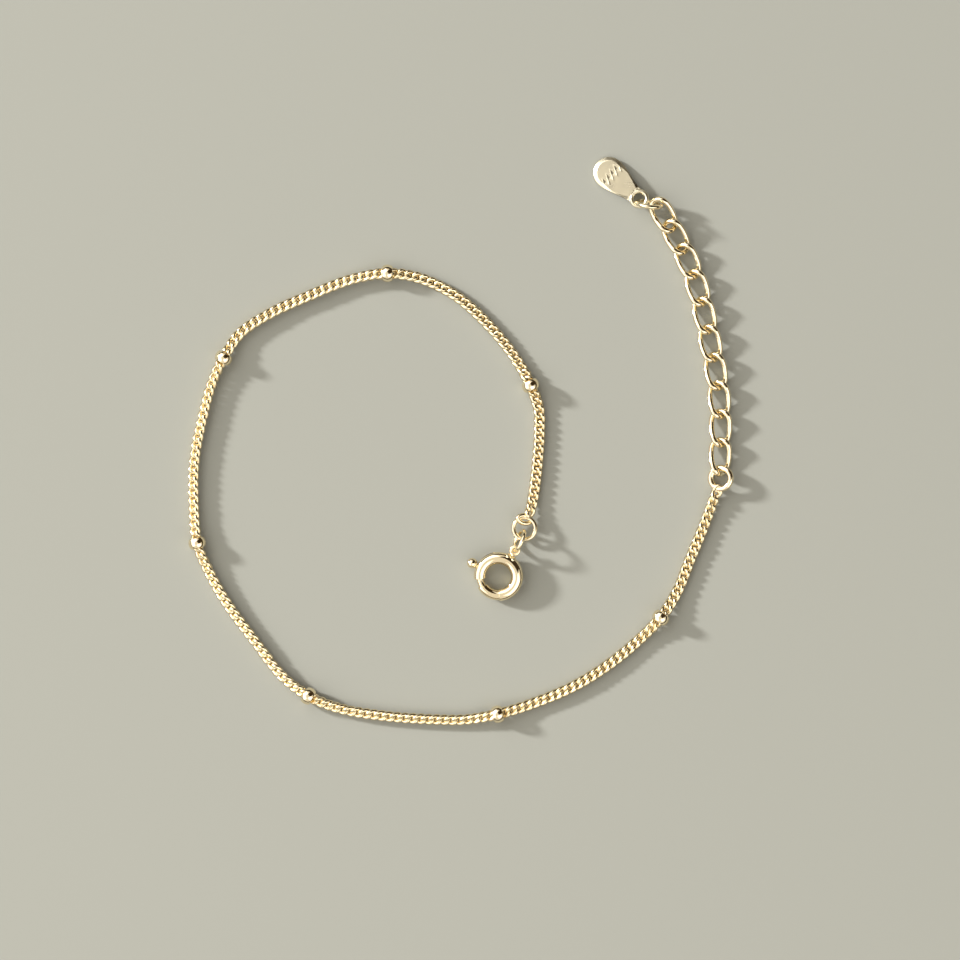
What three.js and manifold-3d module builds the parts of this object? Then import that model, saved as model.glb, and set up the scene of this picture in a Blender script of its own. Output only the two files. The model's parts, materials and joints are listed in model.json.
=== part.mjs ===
// A fine satellite bracelet, laid open on a table in a loose spiral.
//
// Along its length, from the fastening end to the free end:
//   spring-ring clasp (C-shaped hollow housing with a soldered eyelet, and a curved bolt with a ball knob)
//   clasp link (small ring standing on edge), jump ring, curb chain carrying seven hollow beads,
//   thick end ring, extender of ten large curb links, tag ring, drop-shaped tag.
//
// Millimetres, +Z up. The table is z = 0 and the origin lies under the middle of the object's box.

import * as THREE from "three";
import { mergeVertices } from "three/addons/utils/BufferGeometryUtils.js";
import Module from "manifold-3d";

const wasm = await Module();
wasm.setup();

// ---------------------------------------------------------------- driving dimensions

const CHAIN_RADIUS = 0.5; // the curb chain fills a tube of this radius
const CHAIN_SIDES = 8;
const CHAIN_STEP = 2.3; // length of one straight step of the tube
const CHAIN_LIFT = 0.02; // keeps the tube off the table where it sags between two beads
const RUN_SET_BACK = 0.15; // two runs end this far from a bead's middle, inside its hole

const BEAD_RADIUS = 0.965;
const BEAD_HOLE_RADIUS = 0.66;
const BEAD_SEGMENTS = 16; // round the thread
const BEAD_ARC_STEPS = 8; // from one hole to the other

// The chain's route. Where "bead" is true, a bead sits on the chain, and the chain runs through its middle.
const CHAIN_ROUTE = [
  { x: 7.5, y: -7.95, z: 0.9 },
  { x: 7.9, y: -6.2, z: 0.6 },
  { x: 8.3, y: -3.2 },
  { x: 8.6, y: 1.2 },
  { x: 8.5, y: 3.6 },
  { x: 7.6, y: 6.1, bead: true },
  { x: 6.0, y: 9.0 },
  { x: 3.4, y: 12.3 },
  { x: -0.4, y: 15.8 },
  { x: -4.3, y: 17.8 },
  { x: -8.1, y: 18.4, bead: true },
  { x: -12.2, y: 17.7 },
  { x: -16.6, y: 16.0 },
  { x: -21.0, y: 14.0 },
  { x: -24.3, y: 11.8 },
  { x: -26.1, y: 9.1, bead: true },
  { x: -27.4, y: 6.3 },
  { x: -28.5, y: 2.2 },
  { x: -29.3, y: -2.1 },
  { x: -29.4, y: -6.8 },
  { x: -29.0, y: -11.2, bead: true },
  { x: -27.8, y: -14.2 },
  { x: -25.9, y: -17.6 },
  { x: -22.6, y: -22.1 },
  { x: -19.6, y: -25.9 },
  { x: -16.8, y: -28.0, bead: true },
  { x: -13.3, y: -29.4 },
  { x: -8.6, y: -30.2 },
  { x: -3.0, y: -30.6 },
  { x: 0.6, y: -30.6 },
  { x: 4.0, y: -30.0, bead: true },
  { x: 8.0, y: -28.8 },
  { x: 12.5, y: -26.9 },
  { x: 16.6, y: -24.3 },
  { x: 19.7, y: -21.7 },
  { x: 21.9, y: -19.4, bead: true },
  { x: 23.7, y: -16.6 },
  { x: 25.2, y: -12.9 },
  { x: 26.6, y: -9.5, z: 0.55 },
  { x: 27.95, y: -5.8, z: 0.8 },
];

const RING_SIDES = 8; // round the wire
const RING_STEPS = 24; // round the ring

// Rings, each of round wire. "tilt" leans the ring's +X side up out of the table's plane.
const JUMP_RING = { centre: [6.94, -9.6, 0.95], radius: 1.21, wire: 0.24, tilt: 8 };
const END_RING = { centre: [28.48, -4.1, 0.86], radius: 1.15, wire: 0.34, tilt: 22 };

// Two rings stand on edge. Each runs from the hole that it hangs in ("from") to the ring that it holds ("to"),
// given as the middle of its wire at both ends, and leans over by "lean" degrees.
const CLASP_LINK = { from: [5.86, -12.01], to: [6.83, -9.86], wire: 0.22, lean: 15 };
const TAG_RING = { from: [19.26, 26.16], to: [21.93, 25.8], wire: 0.24, lean: 17 };

// A curb link is an oval of round wire, twisted so that each end slopes and the next link crosses it.
const LINK_WIRE = 0.3; // radius of the wire
const LINK_WIDTH = 2.02; // across the middle of the wire
const LINK_END_SHAPE = 0.8; // 1 is an ellipse, and less makes the ends blunter
const LINK_TWIST = 0.42; // how far the middle of the wire rises and falls
const LINK_PITCH = 3.12; // where the extender is drawn straight
const LINK_PLAY = 0.08; // clear gap where two links bear on each other
const LINK_LENGTH = LINK_PITCH + 2 * LINK_WIRE + LINK_PLAY; // along the middle of the wire
const LINK_SIDES = 8;
const LINK_STEPS = 22;
const LINK_ROLL_DEG = 12; // the first link leans against the end ring
const LINK_ROLL_COUNT = 3; // and the lean is gone after this many links

// Middles of the extender's links, from the end ring to the tag. They lie slack near the tag.
const EXTENDER_LINKS = [
  { x: 28.42, y: -1.76, z: 0.79 },
  { x: 28.47, y: 1.39, z: 0.78 },
  { x: 28.33, y: 4.52, z: 0.77 },
  { x: 27.95, y: 7.64, z: 0.77 },
  { x: 27.35, y: 10.72, z: 0.77 },
  { x: 26.72, y: 13.78, z: 0.77 },
  { x: 25.94, y: 16.81, z: 0.77 },
  { x: 24.88, y: 19.75, z: 0.77 },
  { x: 23.57, y: 22.4, z: 0.82 },
  { x: 22.21, y: 24.8, z: 1.1 },
];

// The tag: a drop-shaped plate whose round end touches the table and whose eye is held up by the tag ring.
const TAG_ROUND_RADIUS = 1.74;
const TAG_NECK_X = 3.55; // from the middle of the round end to the end of the neck
const TAG_NECK_HALF = 0.72;
const TAG_SIDE_PULL_X = 1.26; // how far the plate's full width is drawn out before its sides close in
const TAG_EYE_X = 4.42;
const TAG_EYE_RADIUS = 0.84; // to the middle of the eye's wire
const TAG_EYE_WIRE = 0.235;
const TAG_THICKNESS = 0.5;
const TAG_BEVEL = 0.12;
const TAG_EYE_AT = [19.54, 26.6, 0.92];
const TAG_AXIS_DEG = -41; // direction from the round end to the eye
const TAG_ARC_STEPS = 20;

// The spring-ring clasp lies almost flat. Angles are counted from its eyelet, round its own axis.
const CLASP_CENTRE = [4.08, -14.88];
const CLASP_EYELET_DEG = 57.8; // direction from the clasp's middle to its eyelet
const CLASP_TILT_DEG = 8; // the eyelet side is held up by the clasp link
const CLASP_RADIUS = 2.035; // to the middle of the housing's tube
const HOUSING_RADIUS = 0.685; // of the tube
const HOUSING_SIDES = 14;
const HOUSING_STEP_DEG = 10;
const MOUTH_FROM_DEG = 129; // the mouth is the gap that the bolt closes
const MOUTH_TO_DEG = 154;
const PLUG_RADIUS = 0.6; // beyond the mouth, the ring goes on as a slimmer end piece
const PLUG_TO_DEG = 215; // up to here
const BORE_RADIUS = 0.47;
const BORE_SIDES = 14;
const BORE_FROM_DEG = 18; // the hidden coil spring fills the bore from here to the bolt
const BORE_TO_DEG = 181;
const BOLT_RADIUS = 0.4;
const BOLT_SIDES = 10;
const BOLT_STEP_DEG = 9;
const BOLT_FROM_DEG = 80;
const BOLT_TO_DEG = 177;
const BOLT_TRAVEL_DEG = 48; // how far the knob is drawn back to open the mouth
const KNOB_DEG = 95.4;
const KNOB_AT_RADIUS = 3.24; // from the clasp's middle
const KNOB_RADIUS = 0.58;
const STEM_RADIUS = 0.19;
const SLOT_HALF_HEIGHT = 0.26;
const SLOT_MARGIN_DEG = 7; // play beyond the stem at both ends of its travel
const EYELET_AT_RADIUS = 3.42;
const EYELET_RADIUS = 0.45;
const EYELET_WIRE = 0.17;
const EYELET_NECK_RADIUS = 0.22; // of the solder between the eyelet and the tube

const GOLD = { color: 0xe6cf9a, roughness: 0.22, metalness: 1.0 };

const UP = new THREE.Vector3(0, 0, 1);
const rad = THREE.MathUtils.degToRad;

// ---------------------------------------------------------------- curves and helpers

/** A part of a longer curve, between two shares of its length. */
class Stretch extends THREE.Curve {
  constructor(whole, from, to) {
    super();
    this.whole = whole;
    this.from = from;
    this.to = to;
  }

  getPoint(t, target = new THREE.Vector3()) {
    return this.whole.getPointAt(THREE.MathUtils.lerp(this.from, this.to, t), target);
  }
}

/** An arc about +Z in the plane z = 0. */
class Arc extends THREE.Curve {
  constructor(radius, fromDeg, toDeg) {
    super();
    this.radius = radius;
    this.fromDeg = fromDeg;
    this.toDeg = toDeg;
  }

  getPoint(t, target = new THREE.Vector3()) {
    const angle = rad(THREE.MathUtils.lerp(this.fromDeg, this.toDeg, t));
    return target.set(this.radius * Math.cos(angle), this.radius * Math.sin(angle), 0);
  }
}

/** The middle of a curb link's wire: an oval whose height follows twice the angle round it. */
class CurbLoop extends THREE.Curve {
  getPoint(t, target = new THREE.Vector3()) {
    const angle = 2 * Math.PI * t;
    const along = Math.cos(angle);
    return target.set(
      (LINK_LENGTH / 2) * Math.sign(along) * Math.abs(along) ** LINK_END_SHAPE,
      (LINK_WIDTH / 2) * Math.sin(angle),
      -LINK_TWIST * Math.sin(2 * angle)
    );
  }
}

function regularSection(radius, sides) {
  const corners = [];
  for (let i = 0; i < sides; i++) {
    const angle = (2 * Math.PI * (i + 0.5)) / sides;
    corners.push(new THREE.Vector2(radius * Math.cos(angle), radius * Math.sin(angle)));
  }
  return new THREE.Shape(corners);
}

function sweep(path, radius, sides, steps) {
  return new THREE.ExtrudeGeometry(regularSection(radius, sides), {
    steps,
    extrudePath: path,
    bevelEnabled: false,
  });
}

function solidOf(geometry) {
  const bare = geometry.clone();
  bare.deleteAttribute("normal");
  bare.deleteAttribute("uv");
  const merged = mergeVertices(bare, 1e-5);
  return new wasm.Manifold(
    new wasm.Mesh({
      numProp: 3,
      vertProperties: Float32Array.from(merged.getAttribute("position").array),
      triVerts: Uint32Array.from(merged.getIndex().array),
    })
  );
}

function geometryOf(solid) {
  const mesh = solid.getMesh();
  const geometry = new THREE.BufferGeometry();
  geometry.setAttribute("position", new THREE.BufferAttribute(mesh.vertProperties, 3));
  geometry.setIndex(new THREE.BufferAttribute(mesh.triVerts, 1));
  geometry.computeVertexNormals();
  return geometry;
}

function goldMesh(name, geometry) {
  const mesh = new THREE.Mesh(geometry, new THREE.MeshStandardMaterial(GOLD));
  mesh.name = name;
  return mesh;
}

/** Sets an object's place, with its own +X along one direction and its +Z as near as can be to another. */
function place(object, centre, along, up = UP) {
  const x = along.clone().normalize();
  const y = up.clone().cross(x).normalize();
  const z = x.clone().cross(y);
  object.quaternion.setFromRotationMatrix(new THREE.Matrix4().makeBasis(x, y, z));
  object.position.copy(centre);
}

function routeCurve(points) {
  const curve = new THREE.CatmullRomCurve3(points, false, "centripetal");
  curve.arcLengthDivisions = 40 * (points.length - 1);
  return curve;
}

// ---------------------------------------------------------------- chain and beads

function chainHeight(stop) {
  if (stop.bead) return BEAD_RADIUS;
  return stop.z ?? CHAIN_RADIUS + CHAIN_LIFT;
}

/** A ball with a straight hole, turned from one closed profile: the outer arc, then the wall of the hole. */
function beadGeometry() {
  const halfLength = Math.sqrt(BEAD_RADIUS ** 2 - BEAD_HOLE_RADIUS ** 2);
  const rim = Math.atan2(halfLength, BEAD_HOLE_RADIUS);
  const profile = [];
  for (let i = 0; i <= BEAD_ARC_STEPS; i++) {
    const angle = THREE.MathUtils.lerp(-rim, rim, i / BEAD_ARC_STEPS);
    profile.push(new THREE.Vector2(BEAD_RADIUS * Math.cos(angle), BEAD_RADIUS * Math.sin(angle)));
  }
  profile.push(profile[0].clone());
  return new THREE.LatheGeometry(profile, BEAD_SEGMENTS).rotateZ(-Math.PI / 2);
}

/** The beads, and one tube for each run of chain between two of them, which ends inside their holes. */
function chainAndBeads() {
  const pieces = new THREE.Group();
  const stops = CHAIN_ROUTE.map((stop) => new THREE.Vector3(stop.x, stop.y, chainHeight(stop)));
  const route = routeCurve(stops);
  const length = route.getLength();
  const lengths = route.getLengths();

  const beads = CHAIN_ROUTE.flatMap((stop, i) => (stop.bead ? [i] : []));
  const cuts = [0];
  beads.forEach((index, i) => {
    const at = lengths[(index * (lengths.length - 1)) / (stops.length - 1)];
    const bead = goldMesh(`bead_${i + 1}`, beadGeometry());
    place(bead, stops[index], route.getTangentAt(at / length));
    pieces.add(bead);
    cuts.push(at - RUN_SET_BACK, at + RUN_SET_BACK);
  });
  cuts.push(length);

  for (let i = 0; i < cuts.length; i += 2) {
    const stretch = new Stretch(route, cuts[i] / length, cuts[i + 1] / length);
    const steps = Math.round((cuts[i + 1] - cuts[i]) / CHAIN_STEP);
    pieces.add(goldMesh(`chain_run_${i / 2 + 1}`, sweep(stretch, CHAIN_RADIUS, CHAIN_SIDES, steps)));
  }
  return pieces;
}

// ---------------------------------------------------------------- rings and extender links

function flatRing(name, { centre, radius, wire, tilt }) {
  const ring = goldMesh(name, new THREE.TorusGeometry(radius, wire, RING_SIDES, RING_STEPS));
  const along = new THREE.Vector3(Math.cos(rad(tilt)), 0, Math.sin(rad(tilt)));
  place(ring, new THREE.Vector3(...centre), along);
  return ring;
}

/** A ring that stands on edge on the table, leaning over about the line through its two ends. */
function standingRing(name, { from, to, wire, lean }) {
  const start = new THREE.Vector3(...from, 0);
  const end = new THREE.Vector3(...to, 0);
  const radius = start.distanceTo(end) / 2;
  const along = end.clone().sub(start).normalize();
  const level = UP.clone().cross(along);
  const normal = level.multiplyScalar(Math.cos(rad(lean))).addScaledVector(UP, Math.sin(rad(lean)));
  const centre = start.add(end).multiplyScalar(0.5);
  centre.z = radius * Math.cos(rad(lean)) + wire;
  const ring = goldMesh(name, new THREE.TorusGeometry(radius, wire, RING_SIDES, RING_STEPS));
  place(ring, centre, along, normal);
  return ring;
}

function extender() {
  const pieces = new THREE.Group();
  const middles = EXTENDER_LINKS.map(({ x, y, z }) => new THREE.Vector3(x, y, z));
  const route = routeCurve(middles);
  middles.forEach((middle, i) => {
    const geometry = new THREE.TubeGeometry(new CurbLoop(), LINK_STEPS, LINK_WIRE, LINK_SIDES, true);
    const link = goldMesh(`extender_link_${i + 1}`, geometry);
    place(link, middle, route.getTangent(i / (middles.length - 1)));
    link.rotateX(rad(LINK_ROLL_DEG) * Math.max(1 - i / LINK_ROLL_COUNT, 0));
    pieces.add(link);
  });
  return pieces;
}

// ---------------------------------------------------------------- tag

/** The plate's outline: half a circle, and two rounded sides that close in from it to the neck. */
function tagOutline() {
  const outline = new THREE.Shape();
  outline.moveTo(TAG_NECK_X, -TAG_NECK_HALF);
  outline.lineTo(TAG_NECK_X, TAG_NECK_HALF);
  outline.quadraticCurveTo(TAG_SIDE_PULL_X, TAG_ROUND_RADIUS, 0, TAG_ROUND_RADIUS);
  outline.absarc(0, 0, TAG_ROUND_RADIUS, Math.PI / 2, (3 * Math.PI) / 2, false);
  outline.quadraticCurveTo(TAG_SIDE_PULL_X, -TAG_ROUND_RADIUS, TAG_NECK_X, -TAG_NECK_HALF);
  return outline;
}

function tag() {
  const plate = new THREE.ExtrudeGeometry(tagOutline(), {
    depth: TAG_THICKNESS - 2 * TAG_BEVEL,
    bevelThickness: TAG_BEVEL,
    bevelSize: TAG_BEVEL,
    bevelOffset: -TAG_BEVEL,
    bevelSegments: 1,
    curveSegments: TAG_ARC_STEPS,
  }).translate(-TAG_EYE_X, 0, TAG_BEVEL - TAG_THICKNESS / 2);
  const eye = new THREE.TorusGeometry(TAG_EYE_RADIUS, TAG_EYE_WIRE, RING_SIDES, RING_STEPS);
  const mesh = goldMesh("tag", geometryOf(solidOf(plate).add(solidOf(eye))));

  // The far edge of the round end touches the table, which sets the plate's slope.
  const drop = TAG_EYE_AT[2] - TAG_THICKNESS / 2;
  const slope = Math.asin(drop / (TAG_EYE_X + TAG_ROUND_RADIUS));
  const heading = rad(TAG_AXIS_DEG);
  const along = new THREE.Vector3(
    Math.cos(slope) * Math.cos(heading),
    Math.cos(slope) * Math.sin(heading),
    Math.sin(slope)
  );
  place(mesh, new THREE.Vector3(...TAG_EYE_AT), along);
  return mesh;
}

// ---------------------------------------------------------------- spring-ring clasp

function arcTube(radius, sides, fromDeg, toDeg, stepDeg) {
  const steps = Math.round((toDeg - fromDeg) / stepDeg);
  return solidOf(sweep(new Arc(CLASP_RADIUS, fromDeg, toDeg), radius, sides, steps));
}

/** The slot in the housing's outer wall, as a block that spans the stem's whole travel. */
function slotBlock() {
  const from = rad(KNOB_DEG - BOLT_TRAVEL_DEG - SLOT_MARGIN_DEG);
  const to = rad(KNOB_DEG + SLOT_MARGIN_DEG);
  const outer = CLASP_RADIUS + 2 * HOUSING_RADIUS;
  const sector = new THREE.Shape();
  sector.absarc(0, 0, outer, from, to, false);
  sector.absarc(0, 0, CLASP_RADIUS, to, from, true);
  sector.closePath();
  const block = new THREE.ExtrudeGeometry(sector, {
    depth: 2 * SLOT_HALF_HEIGHT,
    bevelEnabled: false,
    curveSegments: 8,
  });
  return solidOf(block.translate(0, 0, -SLOT_HALF_HEIGHT));
}

function claspHousing() {
  const turn = 360;
  const shell = arcTube(HOUSING_RADIUS, HOUSING_SIDES, PLUG_TO_DEG, turn + MOUTH_FROM_DEG, HOUSING_STEP_DEG);
  const plugEnd = PLUG_TO_DEG + HOUSING_STEP_DEG; // runs on inside the shell, so that the two join
  const plug = arcTube(PLUG_RADIUS, HOUSING_SIDES, MOUTH_TO_DEG, plugEnd, HOUSING_STEP_DEG);
  const eyelet = new THREE.TorusGeometry(EYELET_RADIUS, EYELET_WIRE, RING_SIDES, RING_STEPS);
  const neckFrom = CLASP_RADIUS + BORE_RADIUS;
  const neckLength = EYELET_AT_RADIUS - EYELET_RADIUS - neckFrom;
  const neck = new THREE.CylinderGeometry(EYELET_NECK_RADIUS, EYELET_NECK_RADIUS, neckLength, RING_SIDES)
    .rotateZ(-Math.PI / 2)
    .translate(neckFrom + neckLength / 2, 0, 0);
  const bore = arcTube(BORE_RADIUS, BORE_SIDES, BORE_FROM_DEG, BORE_TO_DEG, HOUSING_STEP_DEG);
  const body = shell.add(plug).add(solidOf(neck)).add(solidOf(eyelet.translate(EYELET_AT_RADIUS, 0, 0)));
  return goldMesh("clasp_housing", geometryOf(body.subtract(bore).subtract(slotBlock())));
}

/** The bolt: a curved pin inside the housing, with a stem through the slot and a ball to draw it back by. */
function claspBolt() {
  const angle = rad(KNOB_DEG);
  const stemLength = KNOB_AT_RADIUS - CLASP_RADIUS;
  const stem = new THREE.CylinderGeometry(STEM_RADIUS, STEM_RADIUS, stemLength, BOLT_SIDES)
    .rotateZ(-Math.PI / 2)
    .translate(CLASP_RADIUS + stemLength / 2, 0, 0)
    .rotateZ(angle);
  const knob = new THREE.SphereGeometry(KNOB_RADIUS, 14, 10).translate(KNOB_AT_RADIUS, 0, 0).rotateZ(angle);
  const pin = arcTube(BOLT_RADIUS, BOLT_SIDES, BOLT_FROM_DEG, BOLT_TO_DEG, BOLT_STEP_DEG);
  return goldMesh("clasp_bolt", geometryOf(pin.add(solidOf(stem)).add(solidOf(knob))));
}

/** The clasp rests on the far side of its tube, with its eyelet held up. */
function clasp() {
  const pieces = new THREE.Group();
  pieces.add(claspHousing(), claspBolt());
  const heading = rad(CLASP_EYELET_DEG);
  const tilt = rad(CLASP_TILT_DEG);
  const along = new THREE.Vector3(
    Math.cos(tilt) * Math.cos(heading),
    Math.cos(tilt) * Math.sin(heading),
    Math.sin(tilt)
  );
  const height = HOUSING_RADIUS + CLASP_RADIUS * Math.sin(tilt);
  place(pieces, new THREE.Vector3(...CLASP_CENTRE, height), along);
  return pieces;
}

// ---------------------------------------------------------------- the bracelet

const bracelet = new THREE.Group();
bracelet.name = "bracelet";
bracelet.add(clasp());
bracelet.add(standingRing("clasp_link", CLASP_LINK));
bracelet.add(flatRing("jump_ring", JUMP_RING));
bracelet.add(chainAndBeads());
bracelet.add(flatRing("end_ring", END_RING));
bracelet.add(extender());
bracelet.add(standingRing("tag_ring", TAG_RING));
bracelet.add(tag());

export default bracelet;
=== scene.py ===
# %% [markdown]
# # A satellite bracelet in pale gold
#
# A fine curb chain carries seven small polished beads. At one end it has a spring-ring clasp, at the
# other an extender of ten large curb links with a drop-shaped tag. The CAD model gives each part its
# place and main size. This lesson gives each part its real surface: twisted links instead of a plain
# tube, rounded edges, soldered joints, and gold that mirrors the light around it.

import json
import math

import bmesh
import bpy
import numpy as np
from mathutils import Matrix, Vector


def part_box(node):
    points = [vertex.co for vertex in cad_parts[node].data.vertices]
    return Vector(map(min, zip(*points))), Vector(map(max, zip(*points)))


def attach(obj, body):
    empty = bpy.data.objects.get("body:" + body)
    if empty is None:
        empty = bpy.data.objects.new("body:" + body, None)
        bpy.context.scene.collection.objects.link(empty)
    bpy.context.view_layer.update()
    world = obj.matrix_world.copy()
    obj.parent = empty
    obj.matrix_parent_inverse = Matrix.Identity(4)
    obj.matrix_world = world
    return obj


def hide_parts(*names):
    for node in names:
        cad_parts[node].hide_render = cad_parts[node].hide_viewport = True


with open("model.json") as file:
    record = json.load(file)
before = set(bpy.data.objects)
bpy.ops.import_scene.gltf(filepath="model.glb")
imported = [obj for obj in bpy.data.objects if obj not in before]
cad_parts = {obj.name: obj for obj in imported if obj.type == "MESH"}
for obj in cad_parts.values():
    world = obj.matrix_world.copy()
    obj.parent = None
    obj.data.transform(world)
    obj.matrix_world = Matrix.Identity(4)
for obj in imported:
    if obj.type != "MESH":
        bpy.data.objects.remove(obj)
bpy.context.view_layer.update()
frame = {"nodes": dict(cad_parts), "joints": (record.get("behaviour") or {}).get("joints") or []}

# %% [markdown]
# ## Camera
#
# Jewellery laid on a table is best seen from straight above. A long lens held half a metre away keeps the
# circles round. The width of the field at the table and the distance give the focal length.

# %% Add the camera
MM = 0.001  # metres in a millimetre; the lesson works in millimetres
CAMERA_OVER = (2.05, -4.29)
CAMERA_HEIGHT = 500
FIELD_WIDTH = 105.6  # of the table, from one side of the frame to the other
SENSOR_WIDTH = 36

scene = bpy.context.scene
camera = bpy.data.objects.new("camera", bpy.data.cameras.new("camera"))
camera.data.sensor_width = SENSOR_WIDTH
camera.data.lens = SENSOR_WIDTH * CAMERA_HEIGHT / FIELD_WIDTH
camera.data.clip_start = 0.01
camera.location = np.array([*CAMERA_OVER, CAMERA_HEIGHT]) * MM
scene.collection.objects.link(camera)
scene.camera = camera
print("lens in mm:", round(camera.data.lens, 1))

# %% [markdown]
# ## Surfaces as grids
#
# Almost everything here is a closed surface on a grid of points: round the wire in one direction and along
# it in the other. numpy works out all the points at once. Faces join the neighbours, and a grid that wraps
# in both directions, like a ring, has no seam and no poles.

# %% Helpers that turn a grid of points into a piece
def unit(vectors):
    """The same directions at length one."""
    return vectors / np.linalg.norm(vectors, axis=-1, keepdims=True)


def grid_faces(rows, columns, wrap_rows=True, wrap_columns=True):
    """Four-sided faces between neighbours of a grid whose points are numbered row after row."""
    row = np.arange(rows if wrap_rows else rows - 1)
    column = np.arange(columns if wrap_columns else columns - 1)
    row, column = (side.ravel() for side in np.meshgrid(row, column, indexing="ij"))
    next_row = (row + 1) % rows
    next_column = (column + 1) % columns
    corners = [(row, column), (row, next_column), (next_row, next_column), (next_row, column)]
    return np.stack([r * columns + c for r, c in corners], axis=1)


def outward(points, faces):
    """Faces that point outwards. The volume, a sum of corner . (edge x edge), is negative if they don't."""
    a, b, c, d = (points[faces[:, i]] for i in range(4))
    volume = np.sum(a * (np.cross(b, c) + np.cross(c, d)))
    return faces if volume > 0 else faces[:, ::-1]


def closed_grid(points, wrap_rows=True):
    """Points and faces of a closed surface, from a grid whose columns always wrap."""
    rows, columns = points.shape[:2]
    flat = points.reshape(-1, 3)
    return flat, outward(flat, grid_faces(rows, columns, wrap_rows))


def joined(parts):
    """Several surfaces as one list of points and one of faces."""
    starts = np.cumsum([0] + [len(points) for points, _ in parts[:-1]])
    points = np.concatenate([points for points, _ in parts])
    return points, np.concatenate([faces + start for (_, faces), start in zip(parts, starts)])


def new_object(name, points, faces, weld=False):
    """A smooth mesh object from points in millimetres. Welding closes poles, where a row is one point."""
    mesh = bpy.data.meshes.new(name)
    mesh.from_pydata((points * MM).tolist(), [], faces.tolist())
    made = bpy.data.objects.new(name, mesh)
    scene.collection.objects.link(made)
    if weld:
        weld_doubles(mesh)
    mesh.shade_smooth()
    return made


def weld_doubles(mesh):
    """Merges points that lie within a tenth of a micrometre."""
    shape = bmesh.new()
    shape.from_mesh(mesh)
    bmesh.ops.remove_doubles(shape, verts=shape.verts, dist=1e-7)
    shape.to_mesh(mesh)
    shape.free()


def fit(piece, material, stands_for, body="bracelet"):
    """Gives a finished piece its material and its CAD body, and hides the CAD nodes that it stands for."""
    piece.data.materials.append(material)
    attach(piece, body)
    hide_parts(*stands_for)
    print(f"{piece.name}: {len(piece.data.polygons)} faces on {body}")
    return piece


# %% [markdown]
# ## Reading places from the CAD
#
# Each ring and link is already in the CAD at low detail. Its longest, middle and shortest directions come
# from a singular value decomposition of its points, and the extent along each gives its middle and sizes.
# So no ring or large link is placed by hand, and each sits where its solid is.

# %% Measure a CAD node
def node_points(name):
    """A CAD node's points, in millimetres."""
    mesh = frame["nodes"][name].data
    flat = np.empty(len(mesh.vertices) * 3)
    mesh.vertices.foreach_get("co", flat)
    return flat.reshape(-1, 3) / MM


def principal_frame(name):
    """Middle, right-handed axes (longest first) and half sizes of a node."""
    points = node_points(name)
    axes = np.linalg.svd(points - points.mean(axis=0), full_matrices=False)[2]
    axes[2] *= np.sign(np.linalg.det(axes))
    along = points @ axes.T
    low, high = along.min(axis=0), along.max(axis=0)
    return (low + high) / 2 @ axes, axes, (high - low) / 2


# %% [markdown]
# ## The gold
#
# The bracelet is plated in a pale yellow gold. Polished gold has no colour of its own in the way paint has:
# it tints what it mirrors. So the material is a bare metal with a pale gold reflectance, and its life comes
# from small departures from a perfect mirror. Tumbling leaves fine soft ripples, handling leaves hair
# scratches, and skin leaves a faint film that blurs the gloss in patches. Three finishes are needed, each in
# a shade of its own: bright polish on the beads, rings, links and clasp, a slightly softer polish on the
# tumbled fine chain, and a brushed satin face on the tag. The fine chain's yellower shade is painted light:
# it stands for the light that the gold tints again and again as it bounces between the small links.

# %% Colour and node helpers
def linear(code):
    """An sRGB hex colour as linear light, with alpha."""
    values = np.array([int(code[i:i + 2], 16) for i in (1, 3, 5)]) / 255
    light = np.where(values <= 0.04045, values / 12.92, ((values + 0.055) / 1.055) ** 2.4)
    return (*light.tolist(), 1.0)


def new_material(name):
    """A node material, and its Principled shader."""
    material = bpy.data.materials.new(name)
    material.use_nodes = True
    return material, material.node_tree.nodes["Principled BSDF"]


def add_node(tree, kind, inputs=None, links=None, **settings):
    """Adds one node: settings are its properties, inputs its values, and links its sockets fed by others."""
    node = tree.nodes.new(kind)
    for name, value in settings.items():
        setattr(node, name, value)
    for name, value in (inputs or {}).items():
        node.inputs[name].default_value = value
    for name, source in (links or {}).items():
        tree.links.new(source, node.inputs[name])
    return node


def per_metre(size_mm):
    """The scale of a pattern on Object coordinates whose features are this size."""
    return 1 / (size_mm * MM)


# %% Polished and satin gold
GOLD = "#FCEFD0"  # a pale, champagne yellow
GOLD_WORN = "#F6E4BC"  # where the film of skin oil lies
CHAIN_GOLDS_PAINTED_BOUNCE = ("#F9EAC8", "#F2DFB4")  # the fine chain is a shade yellower: painted bounce light between its links
SATIN_GOLDS = ("#F0E8D0", "#E9DDBC")  # the tag is a shade greyer
FILM_MM = 1.1  # width of a patch of skin oil
FILM_RANGE = (0.35, 0.7)  # of the film's noise, from a clean place to an oily one
SCRATCH_MM = 0.12
SCRATCH_DEPTH_MM = 0.0008
SCRATCH_TURN = (0.4, 0.2, 0.7)  # radians, so that scratches run aslant


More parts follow.
